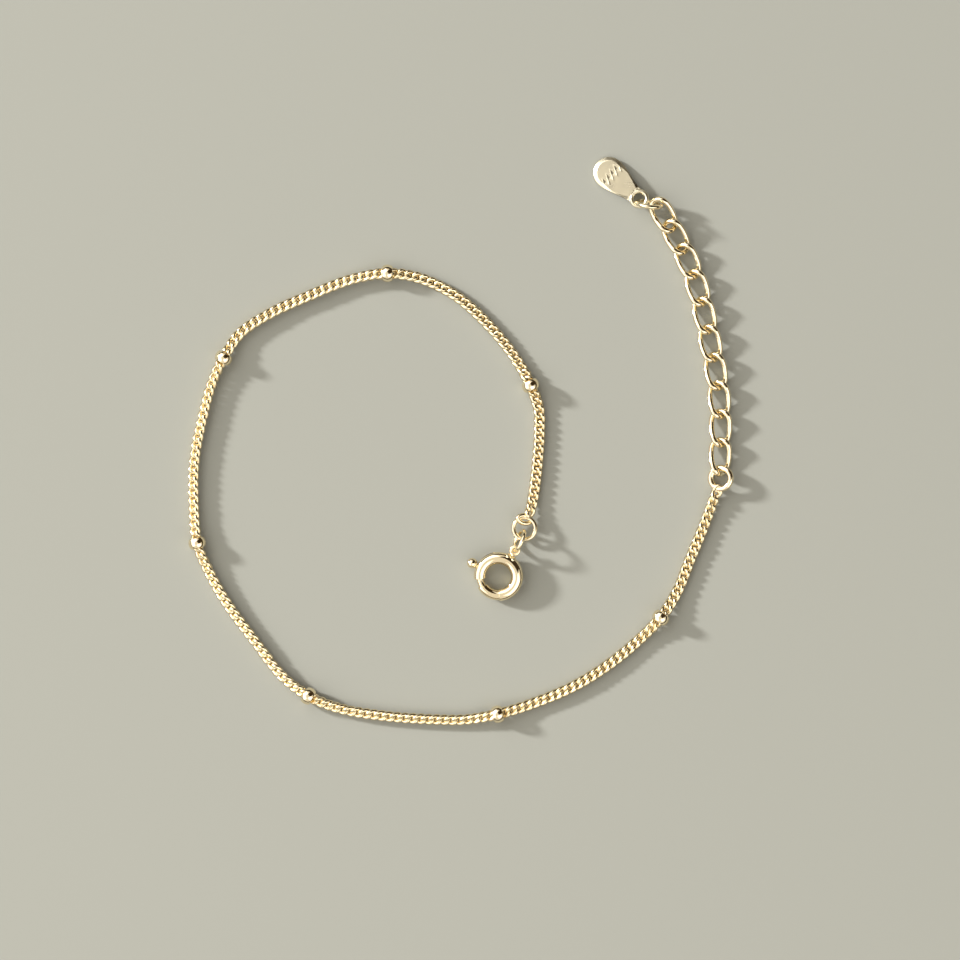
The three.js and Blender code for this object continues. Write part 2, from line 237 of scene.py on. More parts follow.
def gold_material(name, gloss, ripple_mm, ripple_depth_mm, scratch_stretch, tints=(GOLD, GOLD_WORN)):
    """Plated gold. "gloss" is its lowest and highest roughness."""
    material, shader = new_material(name)
    tree = material.node_tree
    place = add_node(tree, "ShaderNodeTexCoord").outputs["Object"]

    # A film of handling, in soft patches about a millimetre across, dulls the gloss and warms the colour.
    film = add_node(
        tree,
        "ShaderNodeTexNoise",
        {"Scale": per_metre(FILM_MM), "Detail": 4.0, "Roughness": 0.6},
        {"Vector": place},
    )
    spread = add_node(
        tree,
        "ShaderNodeMapRange",
        {"From Min": FILM_RANGE[0], "From Max": FILM_RANGE[1], "To Min": gloss[0], "To Max": gloss[1]},
        {"Value": film.outputs["Fac"]},
    )
    tint = add_node(
        tree,
        "ShaderNodeMix",
        {"A": linear(tints[0]), "B": linear(tints[1])},
        {"Factor": film.outputs["Fac"]},
        data_type="RGBA",
    )

    # Soft ripples left by tumbling, then hair scratches, which are a finer noise drawn out to lines.
    ripple = add_node(
        tree, "ShaderNodeTexNoise", {"Scale": per_metre(ripple_mm), "Detail": 2.0}, {"Vector": place}
    )
    drawn_out = add_node(
        tree, "ShaderNodeMapping", {"Scale": scratch_stretch, "Rotation": SCRATCH_TURN}, {"Vector": place}
    )
    scratches = add_node(
        tree,
        "ShaderNodeTexNoise",
        {"Scale": per_metre(SCRATCH_MM), "Detail": 3.0, "Roughness": 0.7},
        {"Vector": drawn_out.outputs["Vector"]},
    )
    soft = add_node(
        tree,
        "ShaderNodeBump",
        {"Strength": 1.0, "Distance": ripple_depth_mm * MM},
        {"Height": ripple.outputs["Fac"]},
    )
    fine = add_node(
        tree,
        "ShaderNodeBump",
        {"Strength": 1.0, "Distance": SCRATCH_DEPTH_MM * MM},
        {"Height": scratches.outputs["Fac"], "Normal": soft.outputs["Normal"]},
    )
    shader.inputs["Metallic"].default_value = 1.0
    tree.links.new(tint.outputs["Result"], shader.inputs["Base Color"])
    tree.links.new(spread.outputs["Result"], shader.inputs["Roughness"])
    tree.links.new(fine.outputs["Normal"], shader.inputs["Normal"])
    return material


# The polish mirrors lamps as white bars and the table as a warm grey.
polished_gold = gold_material("polished_gold_plate", (0.05, 0.13), 0.9, 0.004, (1, 9, 1))
# The fine chain is tumbled only, so its links glitter instead of mirroring.
# Its yellower tints are painted bounce light, for the light that goes back and forth between its small links.
chain_gold = gold_material("tumbled_gold_chain", (0.08, 0.18), 0.5, 0.003, (1, 5, 1), CHAIN_GOLDS_PAINTED_BOUNCE)
# The tag's face is brushed: fine lines scatter the light, and nothing is mirrored clearly.
satin_gold = gold_material("satin_brushed_gold", (0.26, 0.34), 1.2, 0.007, (1, 14, 1), SATIN_GOLDS)
print("materials:", [material.name for material in (polished_gold, chain_gold, satin_gold)])

# %% [markdown]
# ## Wire rings
#
# The jump ring, the end ring and the two small standing rings are round wire bent into a circle. A torus
# formula makes them: the wire's section is a circle that travels round a larger circle. A real ring is cut
# and soldered shut, and the polished joint leaves a hairline groove across the wire.

# %% Make the rings
RING_STEPS = 96
RING_SIDES = 20
JOINT_DEPTH = 0.06  # share of the wire's radius that the groove takes


def around(steps):
    """Evenly spaced angles round a full turn."""
    return 2 * np.pi * np.arange(steps) / steps


def wire_along(middle, up, radius, sides):
    """A tube: a circle square to the line round each of its points. Radius is one value, or one a point."""
    ahead = unit(np.roll(middle, -1, axis=0) - np.roll(middle, 1, axis=0))
    across = unit(np.cross(up, ahead))
    over = np.cross(ahead, across)
    turn = around(sides)[None, :, None]
    circle = np.cos(turn) * across[:, None] + np.sin(turn) * over[:, None]
    radius = np.broadcast_to(radius, len(middle))[:, None, None]
    return middle[:, None] + radius * circle


def ring_surface(node, joint_at):
    """A ring as large as the CAD's: its middle line is centre + R (cos a, sin a). A groove is its joint."""
    centre, axes, half = principal_frame(node)
    wire = half[2]
    radius = np.linalg.norm(node_points(node) - centre, axis=1).max() - wire
    angle = around(RING_STEPS)
    middle = centre + radius * (np.cos(angle)[:, None] * axes[0] + np.sin(angle)[:, None] * axes[1])
    grooved = np.full(RING_STEPS, wire)
    grooved[int(joint_at * RING_STEPS)] *= 1 - JOINT_DEPTH
    return closed_grid(wire_along(middle, axes[2], grooved, RING_SIDES))


for node, joint_at in {"jump_ring": 0.1, "end_ring": 0.55, "clasp_link": 0.8, "tag_ring": 0.35}.items():
    ring = new_object(f"{node}_wire", *ring_surface(node, joint_at))
    fit(ring, polished_gold, [node])

# %% [markdown]
# ## Curb links
#
# A curb link is an oval of wire that has been twisted, so that each end slopes and a row of links lies flat.
# Its middle line is x = half length * cos t, y = half width * sin t, and the twist lifts it by
# -rise * sin 2t. A power below one on cos t makes the ends blunter. Both the extender and the fine chain use
# this one formula. A link looks the same after half a turn about any of its axes, so the principal axes of
# the CAD link place it fully.

# %% Make the extender's links
def curb_link(length, width, rise, wire, steps, sides, blunt=1.0, joint=0.0):
    """A curb link about the origin. Lengths and widths are along the middle of the wire."""
    t = around(steps) + np.pi / steps
    along = length / 2 * np.sign(np.cos(t)) * np.abs(np.cos(t)) ** blunt
    middle = np.stack([along, width / 2 * np.sin(t), -rise * np.sin(2 * t)], axis=1)
    radius = np.full(steps, wire)
    radius[steps // 5] *= 1 - joint
    return wire_along(middle, np.array([0.0, 0.0, 1.0]), radius, sides)


LINK_WIRE = 0.3  # radius
LINK_RISE = 0.42
LINK_BLUNT = 0.8
LINK_STEPS, LINK_SIDES = 120, 20
for number in range(1, 11):
    node = f"extender_link_{number}"
    centre, axes, half = principal_frame(node)
    length, width = 2 * (half[0] - LINK_WIRE), 2 * (half[1] - LINK_WIRE)
    link = curb_link(length, width, LINK_RISE, LINK_WIRE, LINK_STEPS, LINK_SIDES, LINK_BLUNT, JOINT_DEPTH)
    piece = new_object(f"curb_link_{number}", *closed_grid(centre + link @ axes))
    fit(piece, polished_gold, [node])

# %% [markdown]
# ## The chain's route
#
# The fine chain lies on the table in a loose spiral and rises where a bead holds it up. The route's points
# are the CAD tube's own, with the chain's roll added: a free chain turns over slowly along its length, so it
# shows its broad face in some runs and its edge in others. A Catmull-Rom curve joins the points: between two
# of them it is a cubic whose end slopes come from the neighbours.

# %% Lay out the route
BEAD_HEIGHT = 0.965  # of the chain inside a bead
LOW = 0.52  # of the chain that lies on the table

# x, y, height and roll in degrees; a bead sits where the height is BEAD_HEIGHT.
CHAIN_ROUTE = np.array([
    (7.5, -7.95, 0.9, 40),
    (7.9, -6.2, 0.6, 12),
    (8.3, -3.2, LOW, 5),
    (8.6, 1.2, LOW, 5),
    (8.5, 3.6, LOW, 8),
    (7.6, 6.1, BEAD_HEIGHT, 15),
    (6.0, 9.0, LOW, 20),
    (3.4, 12.3, LOW, 20),
    (-0.4, 15.8, LOW, 20),
    (-4.3, 17.8, LOW, 20),
    (-8.1, 18.4, BEAD_HEIGHT, 25),
    (-12.2, 17.7, LOW, 25),
    (-16.6, 16.0, LOW, 20),
    (-21.0, 14.0, LOW, 15),
    (-24.3, 11.8, LOW, 20),
    (-26.1, 9.1, BEAD_HEIGHT, 35),
    (-27.4, 6.3, LOW, 40),
    (-28.5, 2.2, LOW, 40),
    (-29.3, -2.1, LOW, 35),
    (-29.4, -6.8, LOW, 35),
    (-29.0, -11.2, BEAD_HEIGHT, 35),
    (-27.8, -14.2, LOW, 35),
    (-25.9, -17.6, LOW, 35),
    (-22.6, -22.1, LOW, 35),
    (-19.6, -25.9, LOW, 35),
    (-16.8, -28.0, BEAD_HEIGHT, 30),
    (-13.3, -29.4, LOW, 30),
    (-8.6, -30.2, LOW, 30),
    (-3.0, -30.6, LOW, 30),
    (0.6, -30.6, LOW, 25),
    (4.0, -30.0, BEAD_HEIGHT, 15),
    (8.0, -28.8, LOW, 8),
    (12.5, -26.9, LOW, 5),
    (16.6, -24.3, LOW, 5),
    (19.7, -21.7, LOW, 5),
    (21.9, -19.4, BEAD_HEIGHT, 5),
    (23.7, -16.6, LOW, 5),
    (25.2, -12.9, LOW, 5),
    (26.6, -9.5, 0.55, 10),
    (27.95, -5.8, 0.8, 40),
])


def catmull_rom(stops, steps=40):
    """The curve through the stops, with slopes weighed by the square roots of the distances between them."""
    ends = np.vstack([2 * stops[0] - stops[1], stops, 2 * stops[-1] - stops[-2]])
    p0, p1, p2, p3 = ends[:-3], ends[1:-2], ends[2:-1], ends[3:]
    gaps = np.sqrt(np.linalg.norm(np.diff(ends[:, :3], axis=0), axis=1))[:, None]
    d0, d1, d2 = gaps[:-2], gaps[1:-1], gaps[2:]
    leave = d1 * ((p1 - p0) / d0 - (p2 - p0) / (d0 + d1) + (p2 - p1) / d1)
    arrive = d1 * ((p2 - p1) / d1 - (p3 - p1) / (d1 + d2) + (p3 - p2) / d2)
    t = np.linspace(0, 1, steps, endpoint=False)[:, None, None]
    curve = (
        (2 * t**3 - 3 * t**2 + 1) * p1
        + (t**3 - 2 * t**2 + t) * leave
        + (3 * t**2 - 2 * t**3) * p2
        + (t**3 - t**2) * arrive
    )
    return np.vstack([curve.transpose(1, 0, 2).reshape(-1, stops.shape[1]), stops[-1]])


ROUTE_STEPS = 40
route = catmull_rom(CHAIN_ROUTE, ROUTE_STEPS)
route_length = np.concatenate([[0], np.cumsum(np.linalg.norm(np.diff(route[:, :3], axis=0), axis=1))])
bead_stops = np.flatnonzero(CHAIN_ROUTE[:, 2] == BEAD_HEIGHT)
bead_lengths = route_length[bead_stops * ROUTE_STEPS]


def on_route(lengths):
    """Place, direction and roll on the route at these lengths from its start."""
    place = np.stack([np.interp(lengths, route_length, route[:, i]) for i in range(4)], axis=1)
    step = 0.2
    after, before = (
        np.stack([np.interp(lengths + side, route_length, route[:, i]) for i in range(3)], axis=1)
        for side in (step, -step)
    )
    return place[:, :3], unit(after - before), np.radians(place[:, 3])


print("route length in mm:", round(route_length[-1], 2), "beads at", np.round(bead_lengths, 1))

# %% [markdown]
# ## Beads
#
# Each bead is a ball with a straight hole that the chain just passes through. Turned about its thread, its
# section is a closed line: the outer arc, a small rounded rim, and the wall of the hole. Every point of that
# line travels round the thread, so the ball has no poles at all.

# %% Make the beads
BEAD_RADIUS = 0.965
HOLE_RADIUS = 0.74
RIM_ROUNDING = 0.05
BEAD_STEPS = 64


def bead_profile():
    """Distances along the thread and from it: outer arc, rim (a small quarter circle), the hole's wall."""
    shoulder = math.asin((HOLE_RADIUS + RIM_ROUNDING) / BEAD_RADIUS)
    arc = np.linspace(shoulder, np.pi - shoulder, 33)
    outer = np.stack([BEAD_RADIUS * np.cos(arc), BEAD_RADIUS * np.sin(arc)], axis=1)
    face = outer[0, 0] - RIM_ROUNDING / 2
    turn = np.linspace(0, np.pi / 2, 5)[1:]
    rim = np.stack([face * np.ones(4), HOLE_RADIUS + RIM_ROUNDING * (1 - np.sin(turn))], axis=1)
    rim[:, 0] -= RIM_ROUNDING * (1 - np.cos(turn))
    wall = np.stack([np.linspace(-face / 2, face / 2, 3), np.full(3, HOLE_RADIUS)], axis=1)
    return np.concatenate([outer, rim * [-1, 1], wall, rim[::-1]])


def bead_surface(centre, thread):
    """The profile turned about the thread."""
    across = unit(np.cross([0, 0, 1], thread))
    over = np.cross(thread, across)
    turn = around(BEAD_STEPS)[None, :, None]
    along, out = (bead_profile()[:, i, None, None] for i in (0, 1))
    return closed_grid(centre + along * thread + out * (np.cos(turn) * across + np.sin(turn) * over))


threads = on_route(bead_lengths)[1]
for number, thread in enumerate(threads, start=1):
    corner, far_corner = (np.array(end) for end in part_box(f"bead_{number}"))
    centre = (corner + far_corner) / 2 / MM
    piece = new_object(f"polished_bead_{number}", *bead_surface(centre, thread))
    fit(piece, polished_gold, [f"bead_{number}"])

# %% [markdown]
# ## The fine curb chain
#
# The chain is about 180 tiny curb links, each 1.7 mm long. Each is a copy of one small link of fewer than a
# hundred faces, turned to the route's direction and rolled with the chain. A matrix for every link places
# them all in one step. A link's wire is flattened a little on both broad faces, as a diamond tool leaves it,
# which makes the chain glitter. The links between two beads are one piece. The wire is thick for such short
# links, so that the chain looks dense: neighbours run into each other by about a tenth of a millimetre where
# they hook.

# %% Make the runs of chain
FINE_PITCH = 0.86  # from link to link
FINE_LENGTH = 1.24  # along the middle of the wire, like the width
FINE_WIDTH = 0.84
FINE_RISE = 0.2
FINE_WIRE = 0.245  # radius
FINE_STEPS, FINE_SIDES = 16, 6
FINE_CUT = 0.05  # depth that the diamond tool takes off each broad face
FIRST_LINK_AT = 0.1  # from the route's start
END_OVERHANG = 0.35  # the last small link goes on past the route, to reach the end link
ROLL_SHAKE_DEG = 4  # no two links lie quite alike
CHAIN_SEED = 5

fine_link = curb_link(FINE_LENGTH, FINE_WIDTH, FINE_RISE, FINE_WIRE, FINE_STEPS, FINE_SIDES)
face_height = FINE_RISE + FINE_WIRE - FINE_CUT
fine_link[..., 2] = fine_link[..., 2].clip(-face_height, face_height)
link_points, link_faces = closed_grid(fine_link)

link_lengths = np.arange(FIRST_LINK_AT, route_length[-1] + END_OVERHANG, FINE_PITCH)
places, directions, rolls = on_route(link_lengths)
shake = np.random.default_rng(CHAIN_SEED)
rolls = rolls + np.radians(shake.normal(0, ROLL_SHAKE_DEG, len(rolls)))
level = unit(np.cross([0, 0, 1], directions))
upright = np.cross(directions, level)
across = np.cos(rolls)[:, None] * level + np.sin(rolls)[:, None] * upright
turned = np.stack([directions, across, np.cross(directions, across)], axis=1)

# Half the height of a rolled link, so that every link rests on the table or hangs above it.
reach = np.abs(link_points[None] @ turned[:, :, 2, None])[..., 0].max(axis=1)
places[:, 2] = np.maximum(places[:, 2] - (LOW - FINE_RISE - FINE_WIRE), reach)

all_links = places[:, None] + link_points @ turned
run_of = np.searchsorted(bead_lengths, link_lengths)


def end_link(middle, length, width, wire, heading_deg, tilt_deg):
    """A plain oval of wire. Its long side points along the heading, and its near end is tilted up."""
    heading, tilt = math.radians(heading_deg), math.radians(tilt_deg)
    flat = math.cos(tilt)
    along = np.array([flat * math.cos(heading), flat * math.sin(heading), -math.sin(tilt)])
    side = np.array([-math.sin(heading), math.cos(heading), 0.0])
    oval = curb_link(length, width, 0.0, wire, 40, 12)
    return closed_grid(middle + oval @ np.array([along, side, np.cross(along, side)]))


# One more link lies across the jump ring, and another across the end ring. Each of these, and the small
# link beside it, runs into its ring's wire by 0.2 to 0.3 mm.
END_LINKS = {
    0: end_link(middle=(6.93, -8.62, 0.95), length=1.56, width=0.86, wire=0.25, heading_deg=-13, tilt_deg=20),
    7: end_link(middle=(28.12, -5.52, 0.84), length=1.3, width=0.86, wire=0.19, heading_deg=75, tilt_deg=-20),
}
for run in range(8):
    links = [(link, link_faces) for link in all_links[run_of == run]]
    if run in END_LINKS:
        links.append(END_LINKS[run])
    points, faces = joined(links)
    piece = new_object(f"fine_chain_{run + 1}", points, faces)
    fit(piece, chain_gold, [f"chain_run_{run + 1}"])
print("fine links:", len(all_links), "of", len(link_faces), "faces")

# %% [markdown]
# ## The tag
#
# The tag is a small drop cut from sheet, with a ring at its narrow end. Seen from above, its outline is a
# drop and a circle blended into each other. Each half of its surface runs from the hole's edge across the
# face to the outline, where a broad bevel catches the light. So one grid of rows, from the hole over the
# front to the outline and back along the rear, closes on itself like a ring.

# %% Make the tag
TAG_ROUND_RADIUS = 1.74
TAG_NECK_X = 3.55  # from the middle of the round end
TAG_NECK_HALF = 0.72
TAG_SIDE_PULL_X = 1.26  # how far the full width is drawn out before the sides close in
TAG_EYE_X = 4.42
TAG_EYE_RADIUS = 0.84
TAG_EYE_WIRE = 0.235
TAG_HALF_THICKNESS = 0.25
TAG_BEVEL_WIDTHS = (0.42, 0.14)  # round the broad end, and along the sides
TAG_BEVEL_FADE_X = (0.2, 1.8)  # where the one turns into the other
TAG_BEVEL_SLOPE = 0.56
TAG_REAR_SLOPE = 0.15
TAG_BLEND = 0.14  # solder fillet between the plate and the ring
TAG_PLATE_PAST_NECK = 0.1
TAG_PLATE_FADE = 0.25  # over which the plate thins out under the ring
TAG_SOLDER = 0.03  # half the thickness left beyond the plate

# A row of small struck lozenges crosses the round end.
MARK_AT = (0.42, 0.0)
MARK_PITCH = 0.64
MARK_COUNT = 4
MARK_TURN_DEG = 90
MARK_HALF = np.array([0.27, 0.42])  # along the row and across it
MARK_DEPTH = 0.03
MARK_WALL_END = 1.2  # where a pit's walls end, with the lozenge's own edge at 1
MARK_RIM_AT = 1.25
MARK_RIM_WIDTH = 0.25
MARK_RIM_SHARE = 0.6  # of the depth, pushed up as a rim


def drop_distance(x, y):
    """Distance outside a drop: a round end, then sides whose half width is R - (R - neck) t^2.

    Along the axis x = 2 t (1 - t) pull + t^2 neck_x, which is solved for t.
    """
    bend = TAG_NECK_X - 2 * TAG_SIDE_PULL_X
    t = (np.sqrt(TAG_SIDE_PULL_X**2 + bend * np.clip(x, 0, None)) - TAG_SIDE_PULL_X) / bend
    slope = (TAG_ROUND_RADIUS - TAG_NECK_HALF) * t / (TAG_SIDE_PULL_X + bend * t)
    side = (np.abs(y) - TAG_ROUND_RADIUS + (TAG_ROUND_RADIUS - TAG_NECK_HALF) * t**2) / np.hypot(1, slope)
    return np.where(x < 0, np.hypot(x, y) - TAG_ROUND_RADIUS, np.maximum(side, x - TAG_NECK_X))


def tag_distance(x, y):
    """Distance outside the drop and the ring together: the smaller of both, rounded where they meet."""
    drop = drop_distance(x, y)
    ring = np.hypot(x - TAG_EYE_X, y) - TAG_EYE_RADIUS - TAG_EYE_WIRE
    share = np.clip(0.5 + (ring - drop) / (2 * TAG_BLEND), 0, 1)
    return ring * (1 - share) + drop * share - TAG_BLEND * share * (1 - share)


def tag_outline(count):
    """The outline, found by halving along rays from the ring's middle, then spaced evenly."""
    rays, halvings, far = 2401, 40, 9.0
    angle = np.linspace(0, 2 * np.pi, rays)
    inside, outside = np.full(angle.shape, TAG_EYE_RADIUS), np.full(angle.shape, far)
    for _ in range(halvings):
        half = (inside + outside) / 2
        out = tag_distance(TAG_EYE_X + half * np.cos(angle), half * np.sin(angle)) > 0
        inside, outside = np.where(out, inside, half), np.where(out, half, outside)
    line = np.stack([TAG_EYE_X + inside * np.cos(angle), inside * np.sin(angle)], axis=1)
    walked = np.concatenate([[0], np.cumsum(np.linalg.norm(np.diff(line, axis=0), axis=1))])
    even = np.linspace(0, walked[-1], count, endpoint=False)
    return np.stack([np.interp(even, walked, line[:, i]) for i in (0, 1)], axis=1)


def struck_marks(place):
    """Depth of the struck lozenges: each a pit with straight sides and a low raised rim about it."""
    turn = math.radians(MARK_TURN_DEG)
    row = np.array([math.cos(turn), math.sin(turn)])
    across = np.array([-row[1], row[0]])
    depth = np.zeros(len(place))
    for step in np.arange(MARK_COUNT) - (MARK_COUNT - 1) / 2:
        offset = place - MARK_AT - step * MARK_PITCH * row
        out = np.abs(offset @ row) / MARK_HALF[0] + np.abs(offset @ across) / MARK_HALF[1]
        raised = MARK_RIM_SHARE * np.exp(-(((out - MARK_RIM_AT) / MARK_RIM_WIDTH) ** 2))
        depth += MARK_DEPTH * (np.clip(MARK_WALL_END - out, 0, 1) - raised)
    return depth


def bevel_width(x):
    """Width of the tag's bevel at this distance along it."""
    start, end = TAG_BEVEL_FADE_X
    fade = np.clip((x - start) / (end - start), 0, 1)
    return np.interp(fade * fade * (3 - 2 * fade), [0, 1], TAG_BEVEL_WIDTHS)


def tag_height(place, slope):
    """Half the thickness: a flat sheet with a sloping bevel, and a round wire about the hole."""
    depth = -tag_distance(place[:, 0], place[:, 1])
    sheet = TAG_HALF_THICKNESS - slope * np.clip(bevel_width(place[:, 0]) - depth, 0, None)
    from_eye = np.linalg.norm(place - [TAG_EYE_X, 0.0], axis=1)
    from_wire = (from_eye - TAG_EYE_RADIUS) / TAG_EYE_WIRE
    wire = TAG_EYE_WIRE * np.sqrt(np.clip(1 - from_wire**2, 0, 1))
    on_plate = np.clip((TAG_NECK_X + TAG_PLATE_PAST_NECK - place[:, 0]) / TAG_PLATE_FADE, 0, 1)
    return np.maximum(wire, np.minimum(sheet, sheet * on_plate + TAG_SOLDER))


def tag_surface(count=240, face_rows=84):
    """Rows from the hole over the front to the outline, then back along the plain rear.

    The hole's points follow the bearing of the outline's a little, so that the rows don't shear.
    """
    outline = tag_outline(count)
    ahead = unit(np.roll(outline, -1, axis=0) - np.roll(outline, 1, axis=0))
    inward = np.stack([-ahead[:, 1], ahead[:, 0]], axis=1)
    seen_at = np.unwrap(np.arctan2(outline[:, 1], outline[:, 0] - TAG_EYE_X))
    follow = 0.3
    hole_angle = follow * seen_at + (1 - follow) * (seen_at[0] + around(count))
    hole_direction = np.stack([np.cos(hole_angle), np.sin(hole_angle)], axis=1)
    middle = np.array([TAG_EYE_X, 0.0])

    # The hole's wall is the inner half of the eye's round wire.
    wall_angle = np.linspace(0, np.pi / 2, 6)[:, None, None]
    wall = middle + (TAG_EYE_RADIUS - TAG_EYE_WIRE * np.cos(wall_angle)) * hole_direction
    wall_height = TAG_EYE_WIRE * np.sin(wall_angle[..., 0]) * np.ones(count)

    share = np.linspace(0, 1, face_rows)[1:, None, None]
    inset = bevel_width(outline[:, 0])[:, None] * inward
    face = wall[-1] + share * (outline + inset - wall[-1])
    bevel = outline + np.linspace(1, 0, 7)[1:, None, None] * inset
    rows = np.concatenate([face, bevel])
    sides = []
    for slope, way in ((TAG_BEVEL_SLOPE, 1), (TAG_REAR_SLOPE, -1)):
        heights = np.stack([tag_height(row, slope) for row in rows])
        if way > 0:
            heights -= np.stack([struck_marks(row) for row in rows])
        heights = way * np.concatenate([wall_height, heights])
        sides.append(np.concatenate([np.concatenate([wall, rows]), heights[..., None]], axis=-1))
    front, rear = sides
    return np.concatenate([front, rear[:0:-1]])


def tag_frame():
    """Middle of the eye, and axes along the tag towards the eye, across it, and up."""
    centre, axes, half = principal_frame("tag")
    points = node_points("tag")
    along = (points - centre) @ axes[0]
    across = np.abs((points - centre) @ axes[1])
    forward = axes[0] if across[along > 0].max() < across[along < 0].max() else -axes[0]
    up = axes[2] * np.sign(axes[2, 2])
    eye = centre + forward * (half[0] - TAG_EYE_RADIUS - TAG_EYE_WIRE)
    return eye, np.array([forward, np.cross(up, forward), up])


eye, tag_axes = tag_frame()
sheet = tag_surface()
sheet[..., 0] -= TAG_EYE_X
piece = new_object("drop_tag", *closed_grid(eye + sheet @ tag_axes))
fit(piece, satin_gold, ["tag"])

# %% [markdown]
# ## The spring-ring clasp
#
# The clasp is a tube bent round into a C. A bolt slides inside it, pushed by a hidden spring, and bridges the
# mouth until the wearer draws its ball knob back along a slot. The housing is one line of distances from the
# tube's middle, carried round the clasp: up the bore, over the lip of the mouth, back along the outside,
# down a step to the slimmer end, and into its bore.

# %% Find the clasp's own frame
CLASP_RADIUS = 2.035
TUBE_RADIUS = 0.685
END_RADIUS = 0.6
BORE_RADIUS = 0.47
MOUTH_DEG = (129, 154)
END_STEP_DEG = 215
BORE_ENDS_DEG = (18, 181)
LIP = 0.05  # rounding of every rim
MOUTH_SLANT_DEG = 3.2  # the slim end is cut aslant

joint = frame["joints"][0]
clasp_centre = np.array(joint["pos_m"]) / MM
clasp_up = -unit(np.array(joint["axis"]))
offsets = node_points("clasp_housing") - clasp_centre
offsets -= (offsets @ clasp_up)[:, None] * clasp_up
eyelet_way = unit(offsets[np.linalg.norm(offsets, axis=1).argmax()])
clasp_axes = np.array([eyelet_way, np.cross(clasp_up, eyelet_way), clasp_up])
print("clasp centre in mm:", clasp_centre, "eyelet towards", np.round(eyelet_way, 3))


# %% Make the housing
def stretch(start, end, radius, step=2.5):
    """Rows at one distance from the tube's middle, from one angle to another."""
    count = max(int(abs(end - start) / step), 1) + 1
    return np.column_stack([np.linspace(start, end, count), np.full(count, radius)])


def rim(angle, outer, inner, way):
    """Two quarter circles from a wall end's outer to its inner side. "way" is where the end faces."""
    turn = np.linspace(0, np.pi / 2, 5)
    lip_deg = math.degrees(LIP / CLASP_RADIUS)
    over = np.column_stack([angle - way * lip_deg * (1 - np.sin(turn)), outer - LIP * (1 - np.cos(turn))])
    under = np.column_stack([angle - way * lip_deg * (1 - np.cos(turn)), inner + LIP * (1 - np.sin(turn))])
    return np.concatenate([over, under])


def clasp_tube(rows, columns=56, slant_at=None):
    """Rows of (angle, distance) as a surface of circles about the tube's middle.

    Near the angle "slant_at" each circle leans, its outer side towards lower angles.
    """
    angle, distance = np.radians(rows[:, 0])[:, None], rows[:, 1][:, None]
    turn = around(columns)[None]
    out = CLASP_RADIUS + distance * np.cos(turn)
    if slant_at is not None:
        nearness = np.exp(-(((rows[:, 0] - slant_at) / 10) ** 2))[:, None]
        angle = angle - math.radians(MOUTH_SLANT_DEG) * nearness * distance / END_RADIUS * np.cos(turn)
    flat = [out * np.cos(angle), out * np.sin(angle), distance * np.sin(turn) * np.ones_like(angle)]
    return np.stack(flat, axis=-1)


def housing_rows():
    """The housing's whole line, from the blind end of one bore to the blind end of the other."""
    mouth, far_mouth, step = MOUTH_DEG[0], MOUTH_DEG[1] - 360, END_STEP_DEG - 360
    soft = math.degrees(LIP / CLASP_RADIUS) + 0.5
    return np.concatenate([
        [(BORE_ENDS_DEG[0], 0)],
        stretch(BORE_ENDS_DEG[0], mouth - soft, BORE_RADIUS),
        rim(mouth, TUBE_RADIUS, BORE_RADIUS, 1)[::-1],
        stretch(mouth - soft, step + soft, TUBE_RADIUS),
        rim(step, TUBE_RADIUS, END_RADIUS - LIP, -1)[:5],
        stretch(step - 0.5, far_mouth + soft, END_RADIUS),
        rim(far_mouth, END_RADIUS, BORE_RADIUS, -1),
        stretch(far_mouth + soft, BORE_ENDS_DEG[1] - 360, BORE_RADIUS),
        [(BORE_ENDS_DEG[1] - 360, 0)],
    ])


def combine(piece, other, operation):
    """Applies an exact Boolean to a piece and removes the other object."""
    step = piece.modifiers.new("step", "BOOLEAN")
    step.object, step.operation, step.solver = other, operation, "EXACT"
    shape = piece.evaluated_get(bpy.context.evaluated_depsgraph_get())
    piece.data = bpy.data.meshes.new_from_object(shape)
    piece.modifiers.clear()
    bpy.data.objects.remove(other)


def in_clasp(points):
    """Points of the clasp's own frame, in the bracelet's."""
    return clasp_centre + points @ clasp_axes


def keep_rims_sharp(piece, sharp_deg=35):
    """Smooth shading, except across edges that bend more than this, such as the slot's."""
    piece.data.shade_smooth()
    piece.data.set_sharp_from_angle(angle=math.radians(sharp_deg))


EYELET_AT = 3.42
EYELET_RADIUS = 0.45
EYELET_WIRE = 0.17
EYELET_NECK_SIZE = (0.3, 0.22, 0.22)
SOLDER_AT = 2.44  # two drops of solder hold the eyelet on the tube
SOLDER_DEG = 8
SOLDER_SIZE = (0.42, 0.34, 0.6)  # half sizes outwards, round the clasp and up


def blob(middle, half_sizes, turn_deg=0.0):
    """An ellipsoid: latitude and longitude lines of a ball, stretched, then turned in the clasp's plane."""
    latitude, longitude = np.linspace(-np.pi / 2, np.pi / 2, 17)[:, None], around(32)[None]
    ball = np.stack([
        np.cos(latitude) * np.cos(longitude),
        np.cos(latitude) * np.sin(longitude),
        np.sin(latitude) * np.ones_like(longitude),
    ], axis=-1) * half_sizes
    turn = math.radians(turn_deg)
    turned = np.array([[math.cos(turn), math.sin(turn), 0], [-math.sin(turn), math.cos(turn), 0], [0, 0, 1]])
    return in_clasp((ball + [middle, 0, 0]) @ turned)


housing_grid = clasp_tube(housing_rows(), slant_at=MOUTH_DEG[1] - 360)
housing = new_object("spring_ring_housing", *closed_grid(in_clasp(housing_grid), wrap_rows=False), weld=True)

